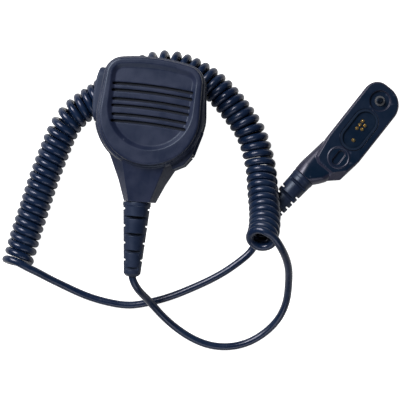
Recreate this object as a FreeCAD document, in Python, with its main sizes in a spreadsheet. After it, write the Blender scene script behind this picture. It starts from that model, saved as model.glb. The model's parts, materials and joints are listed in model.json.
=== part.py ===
import FreeCAD, Part
import math
import os
import re
import Sketcher
from FreeCAD import Placement, Rotation, Vector

# A hand microphone lying on its back: +Z comes out of the grille, +Y points to the top of the head, and the
# origin is on the table under the middle of the grille.  Lengths are millimetres, angles degrees.
DIMENSIONS = {
    # levels of the head, from the table up
    "back_level": 17.4,
    "part_level": 29.0,
    "shoulder_level": 39.4,
    "rim_level": 43.0,
    "wall": 2.2,
    "front_inset": 0.6,
    "fit_gap": 0.1,
    # outlines of the head: a round lower end, straight sides, rounded top corners and a crowned top
    "housing_low_radius": 29.9,
    "housing_low_y": -2.0,
    "housing_half_top": 27.8,
    "housing_top_y": 28.9,
    "housing_corner": 12.0,
    "shoulder_low_radius": 27.6,
    "shoulder_low_y": -2.4,
    "shoulder_half_top": 26.4,
    "shoulder_top_y": 27.9,
    "shoulder_corner": 10.0,
    "island_low_radius": 26.3,
    "island_low_y": -2.6,
    "island_half_top": 25.4,
    "island_top_y": 27.2,
    "island_corner": 9.0,
    "recess_low_radius": 22.4,
    "recess_low_y": 1.4,
    "recess_half_top": 22.4,
    "recess_top_y": 24.0,
    "recess_corner": 6.0,
    "crown_radius": 96.0,
    "recess_depth": 1.6,
    "recess_slope": 2.2,
    "grille_thick": 1.6,
    # grille slits: three pairs, arched
    "slit_width": 1.45,
    "slit_arch": 250.0,
    "slit_first_y": 12.6,
    "slit_pair_pitch": 8.1,
    "slit_pair_gap": 3.5,
    "slit_half_top": 20.6,
    "slit_half_step": 0.8,
    # neck, a tapering trapezoid from the head down to the strain relief
    "neck_top_y": -20.0,
    "neck_waist_y": -38.0,
    "neck_end_y": -49.2,
    "neck_half_top": 21.8,
    "neck_half_end": 8.3,
    "neck_waist": 0.7,
    "facet_half_top": 13.4,
    "facet_half_end": 5.3,
    "facet_top_z": 40.1,
    "facet_end_z": 35.0,
    "heel_top_z": 17.0,
    "heel_end_z": 20.0,
    "neck_wall": 2.0,
    # jack shoulder on the right side and its hinged cover
    "jack_x": 27.9,
    "jack_y": -13.5,
    "jack_turn": -14.0,
    "jack_level": 29.0,
    "jack_bore": 1.8,
    "jack_depth": 14.0,
    "flap_length": 13.0,
    "flap_height": 10.0,
    "flap_thick": 1.6,
    "flap_pin_radius": 0.5,
    "flap_pin_x": -1.1,
    # push-to-talk button on the left side
    "ptt_low_y": -8.8,
    "ptt_high_y": 20.4,
    "ptt_height": 13.0,
    "ptt_proud_x": -31.3,
    "ptt_inner_x": -24.2,
    "ptt_corner": 5.0,
    "ptt_crown": 60.0,
    # inside the head
    "board_level": 24.7,
    "board_thick": 1.6,
    "speaker_y": 1.0,
    "speaker_radius": 17.0,
    "capsule_x": 19.3,
    "capsule_y": -8.5,
    "capsule_radius": 3.0,
    "post_radius": 2.6,
    "screw_radius": 1.0,
    # belt clip
    "pivot_y": -8.0,
    "clip_width": 24.0,
    "clip_length": 42.0,
    "clip_corner": 6.0,
    "clip_plate_low": 13.8,
    "clip_plate_thick": 2.5,
    "clip_pin_y": 6.0,
    "clip_pin_z": 8.0,
    "clip_pin_radius": 1.0,
    "lever_thick": 2.4,
    # cord
    "cord_radius": 2.05,
    "coil_mean_radius": 6.5,
    "turn_gap": 0.125,
    "coil_phase": 90.0,
    # strain reliefs
    "relief_x": -1.3,
    "relief_y": -48.5,
    "relief_level": 27.3,
    "relief_lean": 3.5,
    "relief_length": 39.9,
    "relief_radius": 7.5,
    "relief_tip_radius": 4.6,
    "plug_relief_length": 28.5,
    "plug_relief_radius": 6.6,
    "plug_relief_tip_radius": 5.4,
    "plug_relief_lean": -4.5,
    "slot_width": 1.5,
    "relief_gap": 0.3,
    "slot_core": 1.2,
    # side connector: u runs towards the cable, v across, w up, all from the middle of its contact face
    "plug_x": 113.5,
    "plug_y": 6.4,
    "plug_z": 13.5,
    "plug_turn": -120.8,
    "plug_free_end": -28.75,
    "plug_low_side": -11.4,
    "plug_high_side": 11.0,
    "plug_corner": 7.6,
    "plug_nose": 11.3,
    "plug_cable_end": 33.2,
    "plug_end_slope": 5.0,
    "plug_shell_deep": 8.5,
    "plug_deep": 11.5,
    "plug_wall": 2.0,
    "collar_u": 38.5,
    "collar_v": -7.4,
    "collar_w": -6.5,
    "screw_u": -19.6,
    "screw_v": -0.9,
    "thumb_radius": 1.5,
    "pin_pitch": 2.54,
    "pin_radius": 0.65,
}

doc = FreeCAD.newDocument("hand_microphone")
sheet = doc.addObject("Spreadsheet::Sheet", "dims")


def fill_sheet():
    for row, (alias, value) in enumerate(DIMENSIONS.items(), start=1):
        sheet.set("A%d" % row, alias)
        sheet.set("B%d" % row, str(value))
        sheet.setAlias("B%d" % row, alias)
    doc.recompute()


def bound(text):
    """The expression with every dimension's name pointing into the sheet."""
    def in_sheet(word):
        return "dims." + word.group() if word.group() in DIMENSIONS else word.group()

    return re.sub(r"[a-z][a-z_]+", in_sheet, text)


def size(text):
    """The value of an expression in the sheet's dimensions."""
    return float(sheet.evalExpression(bound(str(text))))


# ---------------------------------------------------------------- document objects


def seat(obj, x="0", y="0", z="0", rotation=None):
    """Bind where an object sits; the rotation is set first because an expression keeps it."""
    if rotation is not None:
        obj.Placement = Placement(Vector(), rotation)
    obj.setExpression("Placement.Base.x", bound(x))
    obj.setExpression("Placement.Base.y", bound(y))
    obj.setExpression("Placement.Base.z", bound(z))
    return obj


def bind(obj, **sizes):
    for name, text in sizes.items():
        obj.setExpression(name, bound(text))
    return obj


def box(name, x, y, z, length, width, height, rotation=None):
    """A box whose low corner is at x, y, z."""
    obj = bind(doc.addObject("Part::Box", name), Length=length, Width=width, Height=height)
    return seat(obj, x, y, z, rotation)


def rod(name, radius, length, x="0", y="0", z="0", rotation=None):
    """A cylinder standing on x, y, z; it runs up unless it is rotated."""
    obj = bind(doc.addObject("Part::Cylinder", name), Radius=radius, Height=length)
    return seat(obj, x, y, z, rotation)


def cut(name, base, tool):
    obj = doc.addObject("Part::Cut", name)
    obj.Base = base
    obj.Tool = tool
    return obj


def fuse(name, parts):
    obj = doc.addObject("Part::MultiFuse", name)
    obj.Shapes = parts
    obj.Refine = True
    return obj


def coded(name, shape):
    """A shape built in code from the sheet's sizes."""
    obj = doc.addObject("Part::Feature", name)
    obj.Shape = shape
    return obj


def origin_plane(body, role):
    return [plane for plane in body.Origin.OriginFeatures if plane.Role == role][0]


def polygon_sketch(body, name, role, corners, offset="0"):
    """A closed outline whose corners are bound to the sheet."""
    sketch = body.newObject("Sketcher::SketchObject", name)
    sketch.AttachmentSupport = (origin_plane(body, role), [""])
    sketch.MapMode = "FlatFace"
    sketch.setExpression("AttachmentOffset.Base.z", bound(offset))
    count = len(corners)
    points = [Vector(size(across), size(along), 0) for across, along in corners]
    for index in range(count):
        sketch.addGeometry(Part.LineSegment(points[index], points[(index + 1) % count]), False)
    for index in range(count):
        sketch.addConstraint(Sketcher.Constraint("Coincident", index, 2, (index + 1) % count, 1))
    for index, corner in enumerate(corners):
        for kind, axis, text in (("DistanceX", -2, corner[0]), ("DistanceY", -1, corner[1])):
            value = size(text)
            if abs(value) < 1e-9:
                sketch.addConstraint(Sketcher.Constraint("PointOnObject", index, 1, axis))
                continue
            number = sketch.addConstraint(Sketcher.Constraint(kind, -1, 1, index, 1, value))
            sketch.setExpression("Constraints[%d]" % number, bound(text))
    return sketch


def plate(name, corners, low, thick, round_off=None, role="XY_Plane"):
    """A flat body: an outline padded from its low side, its upright edges rounded."""
    body = doc.addObject("PartDesign::Body", name)
    sketch = polygon_sketch(body, name + "_outline", role, corners, low)
    pad = body.newObject("PartDesign::Pad", name + "_pad")
    pad.Profile = sketch
    bind(pad, Length=thick)
    doc.recompute()
    if round_off:
        along = Vector(1, 0, 0) if role == "YZ_Plane" else Vector(0, 0, 1)
        upright = [
            "Edge%d" % (number + 1)
            for number, edge in enumerate(pad.Shape.Edges)
            if abs(edge.tangentAt(edge.FirstParameter).dot(along)) > 0.999
        ]
        rounding = body.newObject("PartDesign::Fillet", name + "_rounding")
        rounding.Base = (pad, upright)
        bind(rounding, Radius=round_off)
    return body


def rectangle(left, low, right, high):
    return [(left, low), (right, low), (right, high), (left, high)]


def turned(name, profile):
    """A body of revolution about its own Z axis from a profile of (radius, height) corners."""
    body = doc.addObject("PartDesign::Body", name)
    sketch = polygon_sketch(body, name + "_profile", "XZ_Plane", profile)
    revolution = body.newObject("PartDesign::Revolution", name + "_turning")
    revolution.Profile = sketch
    revolution.ReferenceAxis = (sketch, ["V_Axis"])
    revolution.Angle = 360
    return body


def sleeve_profile(inner, outer, low, high):
    return [(inner, low), (outer, low), (outer, high), (inner, high)]


def group(name, master, places):
    """Separate copies of one piece, each moved to its place, in one node."""
    doc.recompute()
    copies = []
    for place in places:
        copy = master.Shape.copy()
        copy.Placement = place.multiply(copy.Placement)
        copies.append(copy)
    return coded(name, Part.makeCompound(copies))


def label(obj, name):
    obj.Label = name
    NODES.append(obj)
    return obj


NODES = []


# ---------------------------------------------------------------- curves and lofts


def shield_wire(kind, level, inset=0.0):
    """The head's outline of one kind, drawn in by inset, at one level."""
    low_radius = size(kind + "_low_radius") - inset
    low_centre = Vector(0, size(kind + "_low_y"), level)
    corner = size(kind + "_corner") - inset
    crown = size("crown_radius") - inset
    corner_x = size(kind + "_half_top") - inset - corner
    crown_y = size(kind + "_top_y") - inset - crown
    corner_centre = Vector(corner_x, crown_y + math.sqrt((crown - corner) ** 2 - corner_x ** 2), level)
    apart = corner_centre - low_centre
    turn = math.atan2(apart.y, apart.x) - math.acos((low_radius - corner) / apart.Length)
    side = Vector(math.cos(turn), math.sin(turn), 0)
    crown_side = Vector(corner_centre.x, corner_centre.y - crown_y, 0)
    crown_side.normalize()
    bisector = side + crown_side
    bisector.normalize()

    def mirrored(point):
        return Vector(-point.x, point.y, point.z)

    low = low_centre + side * low_radius
    high = corner_centre + side * corner
    middle = corner_centre + bisector * corner
    top = corner_centre + crown_side * corner
    edges = [
        Part.Arc(mirrored(low), low_centre - Vector(0, low_radius, 0), low).toShape(),
        Part.makeLine(low, high),
        Part.Arc(high, middle, top).toShape(),
        Part.Arc(top, Vector(0, crown_y + crown, level), mirrored(top)).toShape(),
        Part.Arc(mirrored(top), mirrored(middle), mirrored(high)).toShape(),
        Part.makeLine(mirrored(high), mirrored(low)),
    ]
    return Part.Wire(edges)


def ruled(sections):
    return Part.makeLoft(sections, True, True)


def tidied(shape):
    """The shape with neighbouring faces of one surface joined, where that leaves it sound."""
    joined = shape.copy().removeSplitter()
    return joined if joined.isValid() else shape


def polygon(points):
    return Part.makePolygon(points + points[:1])


def rounded_wire(width, height, corner):
    """A rounded rectangle round the origin of the XY plane."""
    half_width = width / 2
    half_height = height / 2
    edges = []
    for turn, across, along in ((0, half_width, half_height), (90, half_height, half_width),
                                (180, half_width, half_height), (270, half_height, half_width)):
        spin = Rotation(Vector(0, 0, 1), turn)
        near = spin.multVec(Vector(across, along - corner, 0))
        far = spin.multVec(Vector(across - corner, along, 0))
        bend = corner * (1 - math.sqrt(0.5))
        middle = spin.multVec(Vector(across - bend, along - bend, 0))
        start = spin.multVec(Vector(across, corner - along, 0))
        if (near - start).Length > 1e-6:
            edges.append(Part.makeLine(start, near))
        edges.append(Part.Arc(near, middle, far).toShape())
    return Part.Wire(edges)


def stadium(length, width, low, high):
    """An upright solid with a stadium outline, longest along X."""
    wire = rounded_wire(length, width, width / 2 - 0.001)
    wire.translate(Vector(0, 0, low))
    return Part.Face(wire).extrude(Vector(0, 0, high - low))


# ---------------------------------------------------------------- head housing


def neck_solid(low_inset, half_of, level_of, inset=0.0, end_y=None):
    """Half of the tapering, slightly waisted neck, from the split level out to its flat facet."""
    split = size("part_level")
    top_y = size("neck_top_y")
    waist_y = size("neck_waist_y")
    last_y = size("neck_end_y")
    wires = []
    for y in (top_y, waist_y, last_y if end_y is None else end_y):
        share = (y - top_y) / (last_y - top_y)
        drawn_in = low_inset + inset + (size("neck_waist") if y == waist_y else 0.0)
        half_split = size("neck_half_top") * (1 - share) + size("neck_half_end") * share - drawn_in
        half_facet = half_of[0] * (1 - share) + half_of[1] * share - inset * 0.8
        facet_level = level_of[0] * (1 - share) + level_of[1] * share
        facet_level += -inset if facet_level > split else inset
        wires.append(polygon([
            Vector(-half_split, y, split), Vector(half_split, y, split),
            Vector(half_facet, y, facet_level), Vector(-half_facet, y, facet_level),
        ]))
    return ruled(wires)


def neck_front(inset=0.0, end_y=None):
    half = (size("facet_half_top"), size("facet_half_end"))
    level = (size("facet_top_z"), size("facet_end_z"))
    return neck_solid(0.3, half, level, inset, end_y)


def neck_rear(inset=0.0, end_y=None):
    half = (size("facet_half_top"), size("facet_half_end"))
    level = (size("heel_top_z"), size("heel_end_z"))
    return neck_solid(0.0, half, level, inset, end_y)


def jack_frame():
    """Origin on the flap's outer face, X out of the head's side, Y along the side, Z up."""
    spin = Rotation(Vector(0, 0, 1), size("jack_turn"))
    return Placement(Vector(size("jack_x"), size("jack_y"), size("jack_level")), spin)


def jack_shoulder(far_level, near_inset):
    """The thicker part of the head's side that holds the jack, from the split to a far level."""
    part = size("part_level")
    outline = [
        (18.0, -1.5), (29.6, -1.5), (29.5, -6.8), (26.0, -21.3), (22.3, -26.6), (17.3, -29.4), (10.0, -20.0),
    ]
    outward = jack_frame().Rotation.multVec(Vector(1, 0, 0))
    wires = []
    for level, drawn_in in ((part, near_inset), (far_level, 1.6)):
        shift = outward * -drawn_in
        wires.append(polygon([Vector(x + shift.x, y + shift.y, level) for x, y in outline]))
    return ruled(wires)


def jack_openings():
    """What is cut from both covers for the jack, its flap and the flap's hinge."""
    half_height = size("flap_height / 2 + fit_gap")
    half_length = size("flap_length / 2 + fit_gap")
    thick = size("flap_thick + fit_gap")
    tall = 2 * half_height
    recess = Part.makeBox(thick + 3, 2 * half_length, tall, Vector(-thick, -half_length, -half_height))
    notch = Part.makeCylinder(2.6, 4.4, Vector(-1.2, half_length + 0.2, -2.2))
    hinge = Vector(size("flap_pin_x"), -half_length - size("flap_pin_radius"), 0)
    knuckle = Part.makeCylinder(1.5, tall, hinge - Vector(0, 0, half_height))
    pin_reach = half_height + 1.4
    pin = Part.makeCylinder(size("flap_pin_radius + 0.05"), 2 * pin_reach, hinge - Vector(0, 0, pin_reach))
    seat_bore = Part.makeCylinder(3.3, 4.0, Vector(-4.2, 0, 0), Vector(1, 0, 0))
    body_room = Part.makeBox(20.0, 7.0, 6.0, Vector(-24.2, -3.5, -3.0))
    openings = recess.multiFuse([notch, knuckle, pin, seat_bore, body_room])
    openings.Placement = jack_frame()
    return openings


def ptt_bar(grow, from_x, to_x):
    """The button's rounded outline, grown all round, between two places along X."""
    length = size("ptt_high_y - ptt_low_y") + 2 * grow
    wire = rounded_wire(length, size("ptt_height") + 2 * grow, size("ptt_corner") + grow)
    wire.Placement = Placement(
        Vector(from_x, size("(ptt_high_y + ptt_low_y) / 2"), size("part_level")),
        Rotation(Vector(0, 1, 0), Vector(0, 0, 1), Vector(1, 0, 0), "ZXY"),
    )
    return Part.Face(wire).extrude(Vector(to_x - from_x, 0, 0))


def relief_frame():
    """Origin where the strain relief leaves the neck, Z along the cable away from the head, Y up."""
    lean = math.radians(size("relief_lean"))
    along = Vector(math.sin(lean), -math.cos(lean), 0)
    across = Vector(0, 0, 1).cross(along)
    spin = Rotation(across, Vector(0, 0, 1), along, "ZXY")
    return Placement(Vector(size("relief_x"), size("relief_y"), size("relief_level")), spin)


def relief_seat():
    """What the strain relief takes out of the covers' neck: its root, and all past the neck's square end."""
    gap = size("fit_gap")
    bore = Part.makeCylinder(5.5 + gap, 12.0, Vector(0, 0, -8.0))
    flange = Part.makeCylinder(6.4 + gap, 2.0 + 2 * gap, Vector(0, 0, -5.2 - gap))
    beyond = Part.makeCylinder(14.0, 8.0)
    room = bore.multiFuse([flange, beyond])
    room.Placement = relief_frame()
    return room


COVER_SCREWS = ((-19.5, 18.0), (19.5, 18.0), (-12.0, -24.5), (12.0, -24.5))
BOARD_SCREWS = ((-14.0, -15.5), (14.0, 14.0))


def slit(y, half_length):
    """One grille slit: a slot with round ends bent to a shallow arch."""
    arch = size("slit_arch")
    half_width = size("slit_width / 2")
    turn = math.asin(half_length / arch)
    centre = Vector(0, y - arch, 0)
    ends = []
    for radius in (arch - half_width, arch + half_width):
        for way in (-1, 1):
            ends.append(centre + Vector(way * radius * math.sin(turn), radius * math.cos(turn), 0))
    low_left, low_right, high_left, high_right = ends
    outward = Vector(math.cos(turn), -math.sin(turn), 0) * half_width
    outward_left = Vector(-outward.x, outward.y, 0)
    wire = Part.Wire([
        Part.Arc(low_left, centre + Vector(0, arch - half_width, 0), low_right).toShape(),
        Part.Arc(low_right, (low_right + high_right) * 0.5 + outward, high_right).toShape(),
        Part.Arc(high_right, centre + Vector(0, arch + half_width, 0), high_left).toShape(),
        Part.Arc(high_left, (low_left + high_left) * 0.5 + outward_left, low_left).toShape(),
    ])
    wire.translate(Vector(0, 0, size("part_level")))
    return Part.Face(wire).extrude(Vector(0, 0, size("rim_level - part_level")))


def front_cover():
    part = size("part_level")
    rim = size("rim_level")
    shoulder = size("shoulder_level")
    inset = size("front_inset")
    outer = ruled([
        shield_wire("housing", part, inset),
        shield_wire("housing", part + 5.0, inset + 0.4),
        shield_wire("shoulder", shoulder - 1.2, -0.5),
        shield_wire("shoulder", shoulder, 0.4),
    ])
    island = ruled([
        shield_wire("island", shoulder - 3.0, 0.0),
        shield_wire("island", rim - 1.1, 0.0),
        shield_wire("island", rim - 0.3, 0.35),
        shield_wire("island", rim, 1.1),
    ])
    outer = outer.multiFuse([island, neck_front(), jack_shoulder(part + 8.2, inset)])
    floor = rim - size("recess_depth")
    recess = ruled([
        shield_wire("recess", floor, size("recess_slope")),
        shield_wire("recess", rim, 0.0),
        shield_wire("recess", rim + 1.0, 0.0),
    ])
    roof = floor - size("grille_thick")
    cavity = ruled([
        shield_wire("housing", part, inset + size("wall") - 0.2),
        shield_wire("housing", part + 5.0, inset + size("wall") + 0.2),
        shield_wire("shoulder", roof - 2.2, 2.0),
    ])
    upper_cavity = ruled([shield_wire("island", roof - 3.2, 2.2), shield_wire("island", roof, 2.2)])
    neck_cavity = neck_front(size("neck_wall"), -44.0)
    hollow = cavity.multiFuse([upper_cavity, neck_cavity])
    body = outer.cut(hollow).cut(recess)
    posts = []
    for x, y in COVER_SCREWS:
        posts.append(Part.makeCylinder(size("post_radius"), roof + 0.4 - part, Vector(x, y, part)))
    body = body.multiFuse(posts)
    pilot = size("screw_radius + 0.05")
    tools = [Part.makeCylinder(pilot, roof - 1.2 - part, Vector(x, y, part)) for x, y in COVER_SCREWS]
    for pair in range(3):
        half = size("slit_half_top") - pair * size("slit_half_step")
        high = size("slit_first_y") - pair * size("slit_pair_pitch")
        for y in (high, high - size("slit_pair_gap")):
            tools.append(slit(y, half))
    tools += [jack_openings(), ptt_bar(0.2, -36.0, -23.0), relief_seat()]
    for tool in tools:
        body = body.cut(tool)
    label(coded("front_cover", tidied(body)), "front_cover")


def rear_cover():
    back = size("back_level")
    part = size("part_level")
    wall = size("wall")
    outer = ruled([
        shield_wire("housing", back, 5.2),
        shield_wire("housing", back + 0.9, 3.0),
        shield_wire("housing", back + 3.0, 1.2),
        shield_wire("housing", back + 6.5, 0.3),
        shield_wire("housing", part, 0.0),
    ])
    outer = outer.multiFuse([neck_rear(), jack_shoulder(part - 8.2, 0.0)])
    cavity = ruled([
        shield_wire("housing", back + 2.0, 5.6),
        shield_wire("housing", back + 4.5, wall + 0.9),
        shield_wire("housing", part, wall),
    ])
    body = outer.cut(cavity.fuse(neck_rear(size("neck_wall"), -44.0)))
    posts = []
    floor = back + 1.0
    for x, y in COVER_SCREWS:
        posts.append(Part.makeCylinder(size("post_radius"), part - floor - 1.2, Vector(x, y, floor + 1.2)))
    for x, y in BOARD_SCREWS:
        posts.append(Part.makeCylinder(2.3, size("board_level") - floor, Vector(x, y, floor)))
    posts.append(Part.makeCylinder(4.6, 5.2, Vector(0, size("pivot_y"), floor)))
    body = body.multiFuse(posts)
    tools = []
    for x, y in COVER_SCREWS:
        tools.append(Part.makeCylinder(size("screw_radius + 0.15"), 30.0, Vector(x, y, 0)))
        tools.append(Part.makeCylinder(2.2, 20.0, Vector(x, y, 0)))
    for x, y in BOARD_SCREWS:
        tools.append(Part.makeCylinder(0.95, 20.0, Vector(x, y, back + 2.4)))
    tools.append(Part.makeCylinder(2.45, 4.0, Vector(0, size("pivot_y"), back)))
    tools += [jack_openings(), ptt_bar(0.2, -36.0, -23.0), relief_seat()]
    for tool in tools:
        body = body.cut(tool)
    label(coded("rear_cover", tidied(body)), "rear_cover")


def cover_screws():
    screw = turned("cover_screw", [
        ("0", "20.2"), ("0", "18.4"), ("1.9", "18.4"), ("1.9", "19.9"), ("screw_radius", "19.95"),
        ("screw_radius", "36.0"), ("0", "37.0"), ("0", "20.3"),
    ])
    doc.recompute()
    label(group("cover_screws", screw, [Placement(Vector(x, y, 0), Rotation()) for x, y in COVER_SCREWS]),
          "cover_screws")


# ---------------------------------------------------------------- inside the head


def grille_cloth():
    roof = size("rim_level - recess_depth - grille_thick")
    sheet_wire = shield_wire("island", roof - 0.3, 2.4)
    cloth = Part.Face(sheet_wire).extrude(Vector(0, 0, 0.25))
    for x, y in COVER_SCREWS:
        cloth = cloth.cut(Part.makeCylinder(size("post_radius + fit_gap"), 60.0, Vector(x, y, 0)))
    label(coded("grille_cloth", cloth), "grille_cloth")


def speaker():
    front = "rim_level - recess_depth - grille_thick - 0.35"
    gasket = turned("speaker_gasket", sleeve_profile("14.6", "speaker_radius - 0.2", "-0.6", "0"))
    frame = turned("speaker_frame", [
        ("14.8", "-0.65"), ("speaker_radius", "-0.65"), ("speaker_radius", "-1.65"), ("16.2", "-1.65"),
        ("10.2", "-5.3"), ("10.2", "-5.9"), ("8.4", "-5.9"), ("8.4", "-5.1"), ("9.4", "-4.8"), ("14.8", "-1.4"),
    ])
    cone = turned("speaker_cone", [
        ("0", "-1.6"), ("3.6", "-2.2"), ("4.4", "-3.2"), ("13.4", "-0.9"), ("14.7", "-0.9"),
        ("14.7", "-1.1"), ("13.4", "-1.15"), ("4.6", "-3.6"), ("4.2", "-4.6"), ("3.9", "-4.6"),
        ("3.9", "-3.2"), ("3.4", "-2.5"), ("0", "-1.9"),
    ])
    magnet = turned("speaker_magnet", [
        ("0", "-5.0"), ("3.4", "-5.0"), ("3.4", "-5.95"), ("9.8", "-5.95"), ("9.8", "-8.6"), ("0", "-8.6"),
    ])
    for body in (gasket, frame, cone, magnet):
        label(seat(body, "0", "speaker_y", front), body.Name)


def microphone():
    roof = "rim_level - recess_depth - grille_thick - 0.35"
    boot = turned("mic_boot", [
        ("2.2", "0"), ("capsule_radius + 0.6", "0"), ("capsule_radius + 0.6", "-3.6"),
        ("capsule_radius", "-3.6"), ("capsule_radius", "-0.6"), ("2.2", "-0.6"),
    ])
    capsule = turned("mic_capsule", [
        ("0", "-0.65"), ("capsule_radius - 0.05", "-0.65"), ("capsule_radius - 0.05", "-3.3"), ("0", "-3.3"),
    ])
    for body in (boot, capsule):
        label(seat(body, "capsule_x", "capsule_y", roof), body.Name)


def main_board():
    board = plate("main_board_blank", [
        ("-21.4", "-4"), ("-16", "-17.5"), ("12", "-17.5"), ("19.6", "-8"), ("19.6", "11"), ("16", "15.5"),
        ("-15", "17"), ("-21.4", "12"),
    ], "board_level", "board_thick")
    holes = [rod("board_hole_%d" % number, "1.0", "4", str(x), str(y), "board_level - 1")
             for number, (x, y) in enumerate(BOARD_SCREWS)]
    for number, (x, y) in enumerate(((-12.0, -24.5), (12.0, -24.5), (-19.5, 18.0), (19.5, 18.0))):
        holes.append(rod("post_room_%d" % number, "post_radius + 0.4", "4", str(x), str(y), "board_level - 1"))
    label(cut("main_board", board, fuse("board_holes", holes)), "main_board")
    screw = turned("board_screw", [
        ("0", "20.0"), ("0.9", "20.5"), ("0.9", "board_level + board_thick + 0.02"),
        ("1.8", "board_level + board_thick + 0.02"), ("1.8", "board_level + board_thick + 1.1"),
        ("0", "board_level + board_thick + 1.1"),
    ])
    label(group("board_screws", screw, [Placement(Vector(x, y, 0), Rotation()) for x, y in BOARD_SCREWS]),
          "board_screws")


def push_to_talk():
    bar = ptt_bar(0.0, size("ptt_proud_x"), size("ptt_inner_x"))
    crown = size("ptt_crown")
    middle = Vector(size("ptt_proud_x") + crown, size("(ptt_high_y + ptt_low_y) / 2"), 0)
    button = bar.common(Part.makeCylinder(crown, 60.0, middle))
    proud = [edge for edge in button.Edges if edge.BoundBox.XMax < size("ptt_inner_x") - 2.0]
    button = button.makeFillet(1.1, proud)
    label(coded("ptt_button", button), "ptt_button")
    flange = plate("ptt_actuator_plate",
                   rectangle("-8.0", "part_level - 7.6", "12.0", "part_level + 7.6"),
                   "ptt_inner_x + 0.02", "1.2", "1.5", "YZ_Plane")
    label(flange, "ptt_actuator")
    level = "board_level + board_thick + 2.4"
    along_x = Rotation(Vector(0, 1, 0), 90)
    block = box("switch_block", "-21.2", "-2", "board_level + board_thick + 0.02", "6.5", "6.4", "4.6")
    bore = rod("switch_bore", "1.25", "4.2", "-22", "1.2", level, along_x)
    label(cut("switch_body", block, bore), "switch_body")
    plunger = rod("switch_plunger", "1.2", "3.2", "ptt_inner_x + 1.3", "1.2", level, along_x)
    label(plunger, "switch_plunger")


def jack():
    half_height = size("flap_height / 2")
    half_length = size("flap_length / 2")
    thick = size("flap_thick")
    bore = size("jack_bore")
    nose = Part.makeCylinder(3.0, 1.5, Vector(-4.5, 0, 0), Vector(1, 0, 0))
    block = Part.makeBox(13.0, 6.4, 5.36, Vector(-17.5, -3.2, -2.68))
    depth = size("jack_depth")
    hole = Part.makeCylinder(bore, depth, Vector(-2.5 - depth, 0, 0), Vector(1, 0, 0))
    mouth = Part.makeCylinder(bore, 1.0, Vector(-3.6, 0, 0), Vector(1, 0, 0))
    socket = nose.fuse(block).cut(hole).cut(mouth)
    low_corner = Vector(-thick, -half_length, -half_height)
    plate_blank = Part.makeBox(thick, 2 * half_length, 2 * half_height, low_corner)
    outer_edges = [edge for edge in plate_blank.Edges
                   if edge.BoundBox.XMin > -0.01 and edge.BoundBox.YMax > -half_length + 0.01]
    flap = plate_blank.makeFillet(0.8, outer_edges)
    hinge = Vector(size("flap_pin_x"), -half_length - size("fit_gap + flap_pin_radius"), 0)
    knuckle = Part.makeCylinder(1.1, 2 * half_height, hinge - Vector(0, 0, half_height))
    web = Part.makeBox(1.0, 1.2, 2 * half_height, hinge - Vector(0.5, 0, half_height))
    plug = Part.makeCylinder(2.5, 1.0, Vector(-thick - 1.0, 0, 0), Vector(1, 0, 0))
    eye = Part.makeCylinder(size("flap_pin_radius + 0.06"), 20.0, hinge - Vector(0, 0, 10.0))
    flap = flap.multiFuse([knuckle, web, plug]).cut(eye)
    pin_reach = half_height + 1.2
    pin = Part.makeCylinder(size("flap_pin_radius"), 2 * pin_reach, hinge - Vector(0, 0, pin_reach))
    for name, shape in (("jack_socket", socket), ("jack_cover", flap), ("jack_cover_pin", pin)):
        feature = coded(name, shape)
        feature.Placement = jack_frame()
        label(feature, name)


# ---------------------------------------------------------------- belt clip


def clip_outline():
    wire = rounded_wire(size("clip_width"), size("clip_length"), size("clip_corner"))
    wire.translate(Vector(0, size("pivot_y"), 0))
    return wire


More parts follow.
